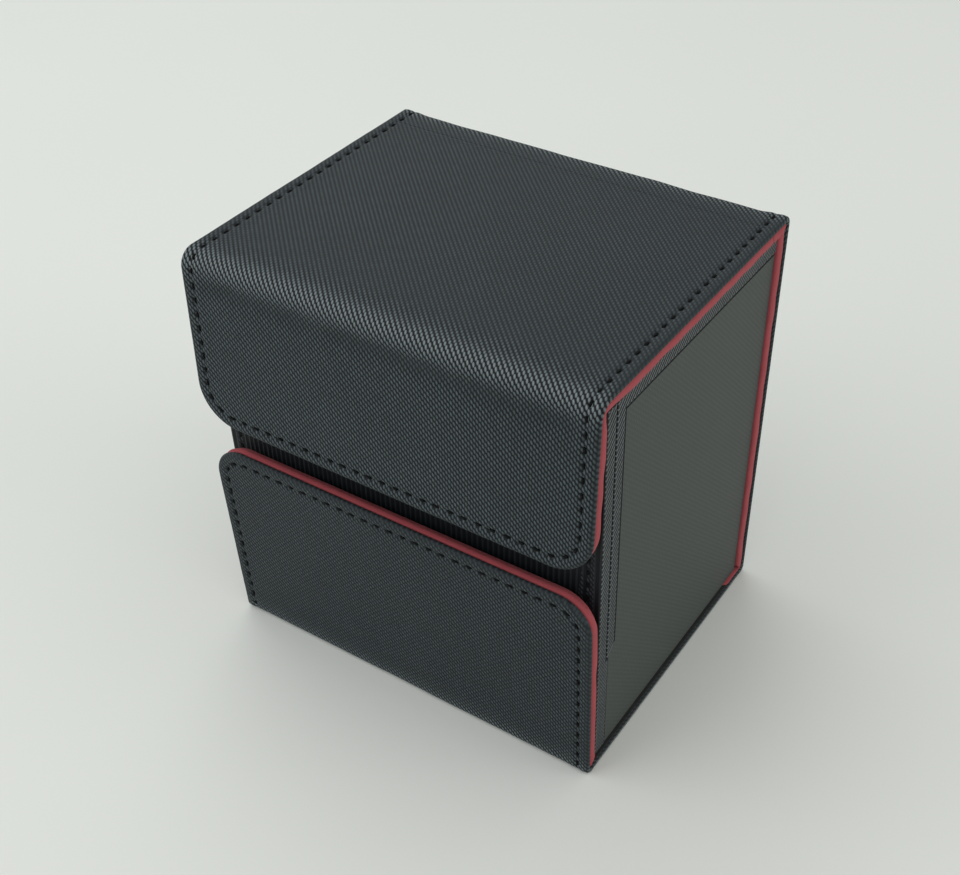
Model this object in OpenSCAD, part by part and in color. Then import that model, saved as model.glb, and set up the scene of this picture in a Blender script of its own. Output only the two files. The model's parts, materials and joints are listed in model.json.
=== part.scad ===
// Card deck box: a stiffened leather cover wraps round an open inner box. The cover's top panel
// lifts from the rear edge, its upper flap hangs over the front, and a lower flap rises from the
// bottom to meet it. X is the width, -Y the front, Z is up, and the origin is the middle of the
// bounding box's base. All sizes are in millimetres.

/* [Cover] */
// Width of the cover
cover_w = 114; // [90:1:150]
// Depth of the cover, without the flare of the flaps
cover_d = 90; // [75:1:120]
// Height of the cover
cover_h = 117; // [105:1:150]
// Thickness of the outer leather with its backing
skin_t = 1.5; // [1:0.1:2]
// Thickness of the lined core behind the leather
core_t = 3; // [2.4:0.1:4]
// Thickness of the bottom's core, which the inner box stands on
bottom_core_t = 1.2; // [1.1:0.1:2]
// Outer radius of the folds between the panels
fold_r = 4.5; // [3.5:0.1:5]
// Depth of each hinge line below the outer surfaces
hinge_inset = 1; // [0.6:0.1:1.4]
// Gap between a fold strip and the panels that it joins
fold_gap = 0.3; // [0.2:0.05:0.5]

/* [Flaps] */
// Length of the upper flap, from the top of the cover to its free edge
upper_len = 47; // [36:0.5:50]
// Length of the lower flap, from the base of the cover to its free edge
lower_len = 60.5; // [45:0.5:64]
// Radius of the upper flap's free corners
upper_corner_r = 11; // [6:0.5:16]
// Radius of the lower flap's free corners
lower_corner_r = 9.5; // [6:0.5:16]
// Angle that the upper flap stands out from the front
upper_flare = 3; // [0:0.5:5]
// Angle that the lower flap stands out from the front
lower_flare = 1.3; // [0:0.1:4]

/* [Lining and boards] */
// Thickness of the lining over the boards' inner faces
lining_t = 0.6; // [0.4:0.1:1]
// Width of the lining that is turned round the boards' edges
lining_edge = 1.2; // [0.8:0.1:3]

/* [Stitching] */
// Distance from the seam to the edge of the leather
seam_inset = 3.3; // [2.5:0.1:4.5]
// Distance from one stitch to the next
stitch_pitch = 3.9; // [2.8:0.1:5]
// Length of one stitch
stitch_len = 2.6; // [1.8:0.1:4]
// Diameter of the thread
thread_d = 0.5; // [0.3:0.05:0.7]
// Width of the pressed groove that holds the thread
groove_w = 0.9; // [0.8:0.1:1.4]
// Depth of the pressed groove
groove_depth = 0.6; // [0.5:0.05:0.9]

/* [Inner box] */
// Distance that the inner box stands back from each side of the cover
side_inset = 1.2; // [0.6:0.1:3]
// Thickness of the boards of the sides, the rear and the floor
board_t = 2; // [1.5:0.1:3]
// Thickness of the front wall, with its leather
front_wall_t = 3.9; // [3:0.1:5]
// Thickness of the inner box's leather
wrap_skin_t = 0.8; // [0.5:0.1:1.2]
// Thickness of the lining inside the card compartment
inner_lining_t = 0.5; // [0.3:0.1:1]
// Clearance between the inner box and the lid
lid_gap = 0.3; // [0.2:0.1:1]
// Clearance between the front wall and the flaps
flap_gap = 0.4; // [0.2:0.1:1]
// Width of the binding along the top and front edges of each side
binding_w = 4.3; // [3:0.1:7]
// Height of the step in the binding's front strip
binding_step_z = 35; // [25:1:45]
// Width of the step in the binding's front strip
binding_step_w = 3; // [2:0.1:3]
// Width of the groove between the binding and the side's leather
binding_gap = 0.5; // [0.3:0.1:1]

/* [Magnets] */
// Diameter of each magnet
magnet_d = 10; // [6:0.5:12]
// Thickness of each magnet
magnet_t = 1.5; // [1:0.1:1.6]
// Distance between the two magnets of a pair
magnet_spacing = 60; // [40:1:70]
// Distance from the magnets to the free edge of the flap
magnet_inset = 12; // [9:0.5:16]
// Clearance around each magnet
magnet_gap = 0.1; // [0.05:0.05:0.3]

/* [Hidden] */
$fn = 64;
// A cut runs this far past the faces that it goes through
over = 1;

leather_colour = "#2b2f31";
thread_colour = "#111214";
lining_colour = "#a23540";
board_colour = "#8d8878";
magnet_colour = "silver";

wrap_t = skin_t + core_t;
half_w = cover_w / 2;
board_core_t = core_t - lining_t;
fold_inner_r = fold_r - skin_t;
bottom_board_t = bottom_core_t - lining_t;
// The back's and the lower flap's cores end this far above the base
foot_depth = skin_t + bottom_core_t + fold_gap;

// The flaps reach this far in front of the cover, and the origin is the middle of it all
upper_reach = (upper_len - hinge_inset) * sin(upper_flare) - hinge_inset * (1 - cos(upper_flare));
lower_reach = (lower_len - hinge_inset) * sin(lower_flare) - hinge_inset * (1 - cos(lower_flare));
front_reach = max(upper_reach, lower_reach, 0);
y_front = (front_reach - cover_d) / 2;
y_back = y_front + cover_d;

// Hinge lines, as [y, z]
lid_hinge = [y_back - hinge_inset, cover_h - hinge_inset];
upper_hinge = [y_front + hinge_inset, cover_h - hinge_inset];
lower_hinge = [y_front + hinge_inset, hinge_inset];

// Inner box
box_half_w = half_w - side_inset;
box_bottom = skin_t + bottom_core_t;
box_top = cover_h - wrap_t - lid_gap;
box_front = y_front + wrap_t + flap_gap;
box_back = y_back - wrap_t;
wall_front = box_front + front_wall_t;
wall_outer_x = box_half_w - wrap_skin_t;
wall_inner_x = wall_outer_x - board_t;
binding_y = wall_front + binding_w;
binding_z = box_top - binding_w;
tab_y = binding_y - binding_step_w - binding_gap;
front_seam_x = box_half_w - seam_inset;

// Places of the magnets, measured up the front wall
upper_magnet_z = cover_h - upper_len + magnet_inset;
lower_magnet_z = lower_len - magnet_inset;

// ---------------------------------------------------------------- shared shapes

// Turns a drawing of the side view, (y, z), into a solid that is w wide and centred on X
module along_x(w) {
    rotate([90, 0, 90]) linear_extrude(height = w, center = true) children();
}

// Swings its children about a hinge line that runs along X
module swing(hinge, angle) {
    translate([0, hinge[0], hinge[1]])
        rotate([angle, 0, 0])
            translate([0, -hinge[0], -hinge[1]]) children();
}

// A box from one corner to the opposite one
module block(low, high) {
    translate(low) cube(high - low);
}

// Side view of one panel of the core, between two of the cover's folds. It is drawn for the top
// panel of a cover that is d deep: the outer face at z = 0 and the middle at y = 0. Its ends meet
// the next panels' cores at 45 degrees, but with foot true the +Y end is square, to stand on the
// bottom.
module core_profile(d, foot) {
    end_y = d / 2 - fold_r;
    inner_y = d / 2 - wrap_t - fold_gap;
    difference() {
        union() {
            translate([-end_y, -wrap_t]) square([2 * end_y, core_t]);
            for (side = [-1, 1])
                intersection() {
                    translate([side * end_y, -fold_r]) circle(r = fold_inner_r - fold_gap);
                    translate([side * end_y - fold_r, -wrap_t]) square([2 * fold_r, wrap_t]);
                }
        }
        for (side = foot ? [-1] : [-1, 1])
            polygon([
                [side * inner_y, -wrap_t - over],
                [side * inner_y, -wrap_t],
                [side * (inner_y + wrap_t + over), over],
                [side * (inner_y + wrap_t + over), -wrap_t - over]
            ]);
        if (foot)
            translate([d / 2 - foot_depth, -wrap_t - over]) square([d, wrap_t + 2 * over]);
    }
}

// The core panel as a tray: lining on the inner face and round the edges, open to the leather
module core_tray(d, foot) {
    difference() {
        along_x(cover_w) core_profile(d, foot);
        core_board_space(d);
    }
}

// The space that a board fills in its tray
module core_board_space(d) {
    board_w = cover_w - 2 * lining_edge;
    board_d = d - 2 * (fold_r + lining_edge);
    translate([-board_w / 2, -board_d / 2, -wrap_t + lining_t])
        cube([board_w, board_d, board_core_t]);
}

// Places a top-panel shape on the back panel
module on_back() {
    translate([0, y_back, cover_h / 2]) rotate([-90, 0, 0]) children();
}

// Places a top-panel shape on the bottom panel
module on_bottom() {
    translate([0, (y_front + y_back) / 2, 0]) rotate([180, 0, 0]) children();
}

// Places a top-panel shape on the top panel
module on_top() {
    translate([0, (y_front + y_back) / 2, cover_h]) children();
}

// One flat leather panel, with its two pressed grooves
module flat_skin(d) {
    length = d - 2 * fold_r;
    difference() {
        translate([-half_w, -length / 2, -skin_t]) cube([cover_w, length, skin_t]);
        for (side = [-1, 1])
            translate([side * (half_w - seam_inset) - groove_w / 2, -length / 2 - over, -groove_depth])
                cube([groove_w, length + 2 * over, groove_depth + over]);
    }
}

// The two rows of stitches along the sides of a flat panel
module flat_stitches(d) {
    length = d - 2 * fold_r;
    count = floor(length / stitch_pitch);
    start = -(count - 1) * stitch_pitch / 2;
    for (side = [-1, 1])
        for (i = [0 : count - 1])
            translate([side * (half_w - seam_inset), start + i * stitch_pitch, 0])
                rotate([0, 0, 90]) stitch();
}

// One stitch along X, whose thread lies in the middle of a groove below z = 0
module stitch() {
    translate([0, 0, -groove_depth / 2])
        rotate([0, 90, 0]) cylinder(d = thread_d, h = stitch_len, center = true);
}

// Side view of a quarter-round strip of leather about [0, 0], in the +Y and +Z quarter
module fold_profile() {
    intersection() {
        difference() {
            circle(r = fold_r);
            circle(r = fold_inner_r);
        }
        square(fold_r);
    }
}

// ---------------------------------------------------------------- flaps

// Outline of a flap that hangs from y = 0 down to y = -len, with rounded free corners
module flap_outline(w, from, len, r) {
    translate([-w / 2, r - len]) square([w, len - r - from]);
    translate([r - w / 2, -len]) square([w - 2 * r, len - from]);
    for (side = [-1, 1])
        translate([side * (w / 2 - r), r - len]) circle(r = r);
}

// A flap's plate: it lies from y = depth to y = depth + t behind the outer face
module flap_plate(w, from, len, r, depth, t) {
    translate([0, depth + t, 0])
        rotate([90, 0, 0]) linear_extrude(height = t) flap_outline(w, from, len, r);
}

// A point along a flap's U-shaped seam and its heading, as [x, z, angle]. s runs from the
// fold down the left side, along the free edge and up the right side.
function seam_length(from, len, r) =
    2 * (len - from - r) + (cover_w - 2 * r) + PI * (r - seam_inset);
function seam_point(s, from, len, r) =
    let (
        side = len - from - r,
        arc = PI * (r - seam_inset) / 2,
        edge = cover_w - 2 * r,
        x = half_w - seam_inset,
        z = seam_inset - len,
        bend = r - seam_inset
    )
    s < side ? [-x, -from - s, 90]
    : s < side + arc ? let (a = (s - side) / bend * 180 / PI)
        [-x + bend * (1 - cos(a)), r - len - bend * sin(a), 90 - a]
    : s < side + arc + edge ? [r - half_w + s - side - arc, z, 0]
    : s < side + 2 * arc + edge ? let (a = (s - side - arc - edge) / bend * 180 / PI)
        [half_w - r + bend * sin(a), z + bend * (1 - cos(a)), -a]
    : [x, r - len + s - side - 2 * arc - edge, 90];

// The stitches of a flap's seam, on a flap whose outer face is y = 0
module flap_stitches(from, len, r) {
    total = seam_length(from, len, r);
    count = floor(total / stitch_pitch);
    start = (total - (count - 1) * stitch_pitch) / 2;
    for (i = [0 : count - 1]) {
        p = seam_point(start + i * stitch_pitch, from, len, r);
        translate([p[0], 0, p[1]]) rotate([90, 0, 0]) rotate([0, 0, -p[2]]) stitch();
    }
}

// The groove pressed along a flap's seam, on a flap whose outer face is y = 0
module flap_groove(from, len, r) {
    bend = r - seam_inset;
    translate([0, groove_depth, 0])
        rotate([90, 0, 0])
            linear_extrude(height = groove_depth + over) {
                for (side = [-1, 1]) {
                    translate([side * (half_w - seam_inset) - groove_w / 2, r - len])
                        square([groove_w, len - r - from + over]);
                    translate([side * (half_w - r), r - len])
                        intersection() {
                            difference() {
                                circle(r = bend + groove_w / 2);
                                circle(r = bend - groove_w / 2);
                            }
                            translate([side < 0 ? -r : 0, -r]) square(r);
                        }
                }
                translate([r - half_w, seam_inset - len - groove_w / 2])
                    square([cover_w - 2 * r, groove_w]);
            }
}

// The leather of a flap, from the end of its fold to its free edge
module flap_skin(len, r) {
    from = fold_r + fold_gap;
    difference() {
        flap_plate(cover_w, from, len, r, 0, skin_t);
        flap_groove(from, len, r);
    }
}

// The lined tray of a flap. Its fold end is mitred, or square to stand on the bottom.
module flap_tray(len, r, foot) {
    difference() {
        union() {
            flap_plate(cover_w, fold_r, len, r, skin_t, core_t);
            along_x(cover_w)
                intersection() {
                    translate([fold_r, -fold_r]) circle(r = fold_inner_r - fold_gap);
                    translate([0, -fold_r]) square([wrap_t, fold_r]);
                }
        }
        along_x(cover_w + 2 * over)
            if (foot)
                translate([0, -foot_depth]) square(2 * wrap_t);
            else
                polygon([
                    [-over, over - fold_gap],
                    [wrap_t + over, -wrap_t - over - fold_gap],
                    [wrap_t + over, over]
                ]);
        flap_board_space(len, r);
    }
}

// The space that a flap's board fills
module flap_board_space(len, r) {
    flap_plate(cover_w - 2 * lining_edge, fold_r + lining_edge, len - lining_edge,
        r - lining_edge, skin_t, board_core_t);
}

// Two discs side by side at height z on a flap, from its leather inwards
module magnet_pair(z, d, t) {
    for (side = [-1, 1])
        translate([side * magnet_spacing / 2, 0, z])
            rotate([-90, 0, 0]) cylinder(d = d, h = t);
}

module flap_board(len, r) {
    difference() {
        flap_board_space(len, r);
        translate([0, wrap_t - lining_t - magnet_t, 0])
            magnet_pair(magnet_inset - len, magnet_d + 2 * magnet_gap, magnet_t + over);
    }
}

module flap_magnets(len) {
    translate([0, wrap_t - lining_t - magnet_t, 0])
        magnet_pair(magnet_inset - len, magnet_d, magnet_t - magnet_gap);
}

// Places a flap shape at the top front fold
module on_upper_flap() {
    swing(upper_hinge, -upper_flare) translate([0, y_front, cover_h]) children();
}

// Places a flap shape, upside down, at the bottom front fold
module on_lower_flap() {
    swing(lower_hinge, lower_flare) translate([0, y_front, 0]) mirror([0, 0, 1]) children();
}

// ---------------------------------------------------------------- cover, fixed part

module back_skin() {
    color(leather_colour) on_back() flat_skin(cover_h);
}

module back_board() {
    color(board_colour) on_back() core_board_space(cover_h);
}

module back_lining() {
    color(lining_colour) on_back() core_tray(cover_h, true);
}

module back_stitching() {
    color(thread_colour) on_back() flat_stitches(cover_h);
}

module bottom_skin() {
    color(leather_colour) on_bottom() flat_skin(cover_d);
}

// A thin sheet on the bottom, from z to z + t, that stands back by edge from the cover's sides
module bottom_sheet(z, t, edge) {
    block([edge - half_w, y_front + fold_r, z], [half_w - edge, y_back - fold_r, z + t]);
}

module bottom_board() {
    color(board_colour) bottom_sheet(skin_t, bottom_board_t, lining_t);
}

module bottom_lining() {
    color(lining_colour) bottom_sheet(skin_t + bottom_board_t, lining_t, side_inset);
}

module bottom_stitching() {
    color(thread_colour) on_bottom() flat_stitches(cover_d);
}

module rear_bottom_fold() {
    color(leather_colour) along_x(cover_w)
        translate([y_back - fold_r, fold_r]) mirror([0, 1]) fold_profile();
}

module rear_top_fold() {
    color(leather_colour) along_x(cover_w)
        translate([y_back - fold_r, cover_h - fold_r])
            difference() {
                fold_profile();
                square([fold_gap, fold_r + over]);
            }
}

module bottom_front_fold() {
    color(leather_colour) along_x(cover_w)
        translate([y_front + fold_r, fold_r]) rotate(180)
            difference() {
                fold_profile();
                square([fold_r + over, fold_gap]);
            }
}

// ---------------------------------------------------------------- inner box

// One side's board; side is -1 on the left and 1 on the right
module wall_board(side) {
    scale_x(side) block([wall_inner_x, wall_front, box_bottom],
        [wall_outer_x, box_back, box_top - wrap_skin_t]);
}

// Mirrors its children to the left for side = -1
module scale_x(side) {
    mirror([side < 0 ? 1 : 0, 0, 0]) children();
}

// Side view of one side's leather, grown by gap on the edges next to the binding
module wall_skin_outline(gap) {
    polygon([
        [box_back + gap, box_bottom - gap],
        [box_back + gap, binding_z + gap],
        [binding_y - gap, binding_z + gap],
        [binding_y - gap, binding_step_z + binding_step_w],
        [binding_y - gap - binding_step_w, binding_step_z],
        [binding_y - gap - binding_step_w, box_bottom - gap]
    ]);
}

module wall_skin(side) {
    scale_x(side) translate([wall_outer_x + wrap_skin_t / 2, 0, 0])
        along_x(wrap_skin_t) wall_skin_outline(0);
}

// The binding along the top and front edges of one side, turned over the board's top
module edge_binding(side) {
    scale_x(side) {
        translate([wall_outer_x + wrap_skin_t / 2, 0, 0])
            along_x(wrap_skin_t)
                difference() {
                    translate([wall_front, binding_step_z])
                        square([box_back - wall_front, box_top - binding_step_z]);
                    wall_skin_outline(binding_gap);
                }
        block([wall_inner_x, wall_front, box_top - wrap_skin_t],
            [wall_outer_x + wrap_skin_t, box_back, box_top]);
    }
}

module left_wall_board() {
    color(board_colour) wall_board(-1);
}

module right_wall_board() {
    color(board_colour) wall_board(1);
}

module left_wall_skin() {
    color(leather_colour) wall_skin(-1);
}

module right_wall_skin() {
    color(leather_colour) wall_skin(1);
}

module left_edge_binding() {
    color(leather_colour) edge_binding(-1);
}

module right_edge_binding() {
    color(leather_colour) edge_binding(1);
}

module rear_wall_board() {
    color(board_colour) block([-wall_inner_x, box_back - board_t, box_bottom + board_t],
        [wall_inner_x, box_back, box_top]);
}

module floor_board() {
    color(board_colour) block([-wall_inner_x, wall_front, box_bottom],
        [wall_inner_x, box_back, box_bottom + board_t]);
}

// The space inside the front wall's leather, open at the bottom and towards the compartment
module front_board_space() {
    block([-wall_outer_x, box_front + wrap_skin_t, box_bottom],
        [wall_outer_x, wall_front, box_top - wrap_skin_t]);
}

// The four magnets of the front wall, behind its leather
module front_magnets(d, t) {
    for (z = [upper_magnet_z, lower_magnet_z])
        translate([0, box_front + wrap_skin_t, 0]) magnet_pair(z, d, t);
}

module front_wall_board() {
    color(board_colour) difference() {
        front_board_space();
        translate([0, -over, 0]) front_magnets(magnet_d + 2 * magnet_gap, magnet_t + over);
    }
}

module front_wall_magnets() {
    color(magnet_colour) translate([0, magnet_gap, 0])
        front_magnets(magnet_d, magnet_t - magnet_gap);
}

// Leather over the front wall and round its edges, with a tab low down on each side
module front_wall_skin() {
    color(leather_colour) {
        difference() {
            block([-box_half_w, box_front, box_bottom], [box_half_w, wall_front, box_top]);
            front_board_space();
            for (side = [-1, 1])
                translate([side * front_seam_x - groove_w / 2, box_front - over, box_bottom - over])
                    cube([groove_w, groove_depth + over, box_top - box_bottom - wrap_skin_t]);
        }
        for (side = [-1, 1])
            scale_x(side) block([wall_outer_x, wall_front, box_bottom],
                [box_half_w, tab_y, binding_step_z - binding_gap]);
    }
}

// The stitches down both ends of the front wall
module front_wall_stitching() {
    length = box_top - box_bottom - 2 * wrap_skin_t - stitch_pitch;
    count = floor(length / stitch_pitch);
    start = (box_top + box_bottom - (count - 1) * stitch_pitch) / 2;
    color(thread_colour)
        for (side = [-1, 1])
            for (i = [0 : count - 1])
                translate([side * front_seam_x, box_front, start + i * stitch_pitch])
                    rotate([90, 90, 0]) stitch();
}

// The lining of the card compartment: one sheet over the floor and all four walls
module inner_lining() {
    color(lining_colour) difference() {
        block([-wall_inner_x, wall_front, box_bottom + board_t],
            [wall_inner_x, box_back - board_t, box_top - wrap_skin_t]);
        block([inner_lining_t - wall_inner_x, wall_front + inner_lining_t,
                box_bottom + board_t + inner_lining_t],
            [wall_inner_x - inner_lining_t, box_back - board_t - inner_lining_t, box_top + over]);
    }
}

// ---------------------------------------------------------------- lid

module top_skin() {
    color(leather_colour) on_top() flat_skin(cover_d);
}

module top_board() {
    color(board_colour) on_top() core_board_space(cover_d);
}

module top_lining() {
    color(lining_colour) on_top() core_tray(cover_d, false);
}

module top_stitching() {
    color(thread_colour) on_top() flat_stitches(cover_d);
}

module front_top_fold() {
    color(leather_colour) along_x(cover_w)
        translate([y_front + fold_r, cover_h - fold_r]) rotate(90)
            difference() {
                fold_profile();
                square([fold_gap, fold_r + over]);
            }
}

// ---------------------------------------------------------------- upper flap

module upper_flap_skin() {
    color(leather_colour) on_upper_flap() flap_skin(upper_len, upper_corner_r);
}

module upper_flap_board() {
    color(board_colour) on_upper_flap() flap_board(upper_len, upper_corner_r);
}

module upper_flap_lining() {
    color(lining_colour) on_upper_flap() flap_tray(upper_len, upper_corner_r, false);
}

module upper_flap_stitching() {
    color(thread_colour) on_upper_flap()
        flap_stitches(fold_r + fold_gap, upper_len, upper_corner_r);
}

module upper_flap_magnets() {
    color(magnet_colour) on_upper_flap() flap_magnets(upper_len);
}

// ---------------------------------------------------------------- lower flap

module lower_flap_skin() {
    color(leather_colour) on_lower_flap() flap_skin(lower_len, lower_corner_r);
}

module lower_flap_board() {
    color(board_colour) on_lower_flap() flap_board(lower_len, lower_corner_r);
}

module lower_flap_lining() {
    color(lining_colour) on_lower_flap() flap_tray(lower_len, lower_corner_r, true);
}

module lower_flap_stitching() {
    color(thread_colour) on_lower_flap()
        flap_stitches(fold_r + fold_gap, lower_len, lower_corner_r);
}

module lower_flap_magnets() {
    color(magnet_colour) on_lower_flap() flap_magnets(lower_len);
}

back_skin();
back_board();
back_lining();
bottom_skin();
bottom_board();
bottom_lining();
rear_bottom_fold();
rear_top_fold();
bottom_front_fold();
back_stitching();
bottom_stitching();
left_wall_board();
right_wall_board();
rear_wall_board();
floor_board();
front_wall_board();
left_wall_skin();
right_wall_skin();
left_edge_binding();
right_edge_binding();
front_wall_skin();
front_wall_stitching();
front_wall_magnets();
inner_lining();
top_skin();
top_board();
top_lining();
top_stitching();
front_top_fold();
upper_flap_skin();
upper_flap_board();
upper_flap_lining();
upper_flap_stitching();
upper_flap_magnets();
lower_flap_skin();
lower_flap_board();
lower_flap_lining();
lower_flap_stitching();
lower_flap_magnets();
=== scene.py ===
import json
import math

import bmesh
import bpy
import numpy as np
from mathutils import Matrix, Vector


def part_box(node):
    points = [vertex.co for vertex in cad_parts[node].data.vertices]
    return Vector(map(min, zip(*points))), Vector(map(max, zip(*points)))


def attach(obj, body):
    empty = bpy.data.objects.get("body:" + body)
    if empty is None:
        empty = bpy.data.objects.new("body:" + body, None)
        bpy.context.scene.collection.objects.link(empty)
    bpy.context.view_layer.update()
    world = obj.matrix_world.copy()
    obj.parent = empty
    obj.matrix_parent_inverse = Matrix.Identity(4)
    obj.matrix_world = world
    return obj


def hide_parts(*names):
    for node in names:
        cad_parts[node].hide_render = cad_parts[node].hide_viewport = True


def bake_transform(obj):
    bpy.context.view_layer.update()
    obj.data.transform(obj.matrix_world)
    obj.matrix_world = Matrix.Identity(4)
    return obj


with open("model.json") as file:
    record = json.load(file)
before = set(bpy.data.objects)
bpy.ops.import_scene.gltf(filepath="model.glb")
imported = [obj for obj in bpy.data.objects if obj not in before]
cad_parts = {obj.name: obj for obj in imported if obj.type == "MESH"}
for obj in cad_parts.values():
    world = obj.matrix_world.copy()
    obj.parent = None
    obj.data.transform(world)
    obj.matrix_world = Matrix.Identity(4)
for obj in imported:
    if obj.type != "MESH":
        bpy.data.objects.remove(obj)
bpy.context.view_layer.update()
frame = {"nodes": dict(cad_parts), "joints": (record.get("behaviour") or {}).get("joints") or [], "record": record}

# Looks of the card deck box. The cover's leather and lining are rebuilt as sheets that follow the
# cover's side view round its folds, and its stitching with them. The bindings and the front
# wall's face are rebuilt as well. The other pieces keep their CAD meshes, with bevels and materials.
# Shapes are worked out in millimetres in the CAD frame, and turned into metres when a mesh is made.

MM = 0.001


def corners(node):
    """Lowest and highest corner of a CAD node, in millimetres."""
    low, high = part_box(node)
    return np.array(low) / MM, np.array(high) / MM


# ---------------------------------------------------------------- sizes from the frame

HALF_W = corners("top_skin")[1][0]
HEIGHT = corners("top_skin")[1][2]
SKIN_T = HEIGHT - corners("top_skin")[0][2]
CORE_DEPTH = HEIGHT - corners("top_lining")[0][2]
FOLD_R = HEIGHT - corners("rear_top_fold")[0][2]
Y_BACK = corners("back_skin")[1][1]
BOTTOM_LINING = corners("bottom_lining")
HINGES = {j["child"]: np.array(j["pos_m"][1:]) / MM for j in frame["joints"]}
HINGE_INSET = HEIGHT - HINGES["lid"][1]
THREAD_D = np.ptp([c[2] for c in corners("top_stitching")])
SEAM_INSET = HALF_W + THREAD_D / 2 - corners("top_stitching")[1][0]

UPPER_CORNER_R = 11.0
LOWER_CORNER_R = 9.5
TIGHT_FOLD_R = 2.0            # the folds at the back and at the bottom's front are sharper than the top's
STITCH_PITCH = 3.9
SHOWN_STITCH = 1.5            # what shows of a stitch between its two needle holes

# ---------------------------------------------------------------- side view of the cover


def flap_line(body, node, level):
    """A flap's outer line in the side view: its corner on the level z, and its free edge."""
    mesh = frame["nodes"][node].data
    normal = max(mesh.polygons, key=lambda face: face.area).normal
    tilt = math.atan(abs(normal.z / normal.y))
    side = -1 if level > 0 else 1
    out = np.array([-math.cos(tilt), -side * math.sin(tilt)])
    along = np.array([-math.sin(tilt), side * math.cos(tilt)])
    hinge = HINGES[body]
    points = np.array([v.co[1:] for v in mesh.vertices]) / MM
    start = (level - hinge[1] - HINGE_INSET * out[1]) / along[1]
    foot = hinge + HINGE_INSET * out
    return foot + start * along, foot + ((points - hinge) @ along).max() * along


class Path:
    """The side view of the cover's outer face: straight panels joined by round folds.
    s is the distance along it from the lower flap's free edge. folds holds where each one starts
    and ends: bottom front, rear bottom, rear top and top front."""

    def __init__(self, points, radii):
        legs = np.diff(points, axis=0)
        headings = np.unwrap(np.arctan2(legs[:, 1], legs[:, 0]))
        turns = np.diff(headings)
        setback = np.concatenate([[0], radii * np.tan(turns / 2), [0]])
        self.pieces, self.folds = [], []
        s, place = 0.0, np.array(points[0], float)
        for i, leg in enumerate(legs):
            straight = np.hypot(*leg) - setback[i] - setback[i + 1]
            self.pieces.append((s, place, headings[i], 0.0))
            s, place = s + straight, self.step(place, headings[i], 0.0, straight)
            if i < len(turns):
                arc = radii[i] * turns[i]
                self.pieces.append((s, place, headings[i], 1 / radii[i]))
                self.folds.append((s, s + arc))
                s, place = s + arc, self.step(place, headings[i], 1 / radii[i], arc)
        self.length = s

    @staticmethod
    def step(place, heading, bend, distance):
        """The point a distance further on, on a line or arc that starts with that heading."""
        distance = np.asarray(distance, float)
        if bend == 0:
            ahead, left = distance, 0 * distance
        else:
            ahead, left = np.sin(bend * distance) / bend, (1 - np.cos(bend * distance)) / bend
        cosine, sine = math.cos(heading), math.sin(heading)
        return place + np.stack([ahead * cosine - left * sine, ahead * sine + left * cosine], -1)

    def at(self, s):
        """Points and outward normals, as (y, z), at the distances s."""
        s = np.asarray(s, float)
        point = np.zeros(s.shape + (2,))
        heading = np.zeros(s.shape)
        for start, place, angle, bend in self.pieces:
            here = (s >= start) | (start == 0)
            point[here] = self.step(place, angle, bend, s[here] - start)
            heading[here] = angle + bend * (s[here] - start)
        return point, np.stack([np.sin(heading), -np.cos(heading)], -1)


def cover_path():
    """The cover's side view, from the lower flap's free edge round to the upper flap's."""
    lower_corner, lower_edge = flap_line("lower_flap", "lower_flap_skin", 0.0)
    upper_corner, upper_edge = flap_line("upper_flap", "upper_flap_skin", HEIGHT)
    points = [lower_edge, lower_corner, [Y_BACK, 0], [Y_BACK, HEIGHT], upper_corner, upper_edge]
    return Path(points, np.array([TIGHT_FOLD_R, TIGHT_FOLD_R, TIGHT_FOLD_R, FOLD_R]))


PATH = cover_path()
FRONT_BOTTOM, REAR_BOTTOM, REAR_TOP, FRONT_TOP = PATH.folds
# Where one sheet ends and the next starts: out of sight near the rear and front folds
BOTTOM_SPLIT = FRONT_BOTTOM[1] + 9.0
TOP_SPLIT = REAR_TOP[1] + 7.0

# ---------------------------------------------------------------- meshes


def ripple(x, y, wave, seed):
    """A smooth uneven surface between about -1 and 1, whose swells are about wave across."""
    rng = np.random.default_rng(seed)
    total = 0.0
    for _ in range(6):
        turn, phase, stretch = rng.uniform(0, 2 * np.pi, 2).tolist() + [rng.uniform(0.6, 1.6)]
        total = total + np.sin((x * np.cos(turn) + y * np.sin(turn)) * 2 * np.pi / (wave * stretch) + phase)
    return total / 3


def smooth(t):
    """0 up to t = 0, 1 from t = 1 on, and a soft step between them."""
    t = np.clip(t, 0, 1)
    return t * t * (3 - 2 * t)


def between(s, start, end, soft):
    """1 between start and end on the path and 0 outside, with soft steps."""
    return smooth((s - start) / soft + 0.5) * smooth((end - s) / soft + 0.5)


def spaced(start, end, step):
    """Evenly spaced values after start, up to and including end, at most step apart."""
    return np.linspace(start, end, math.ceil((end - start) / step) + 1)[1:]


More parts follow.
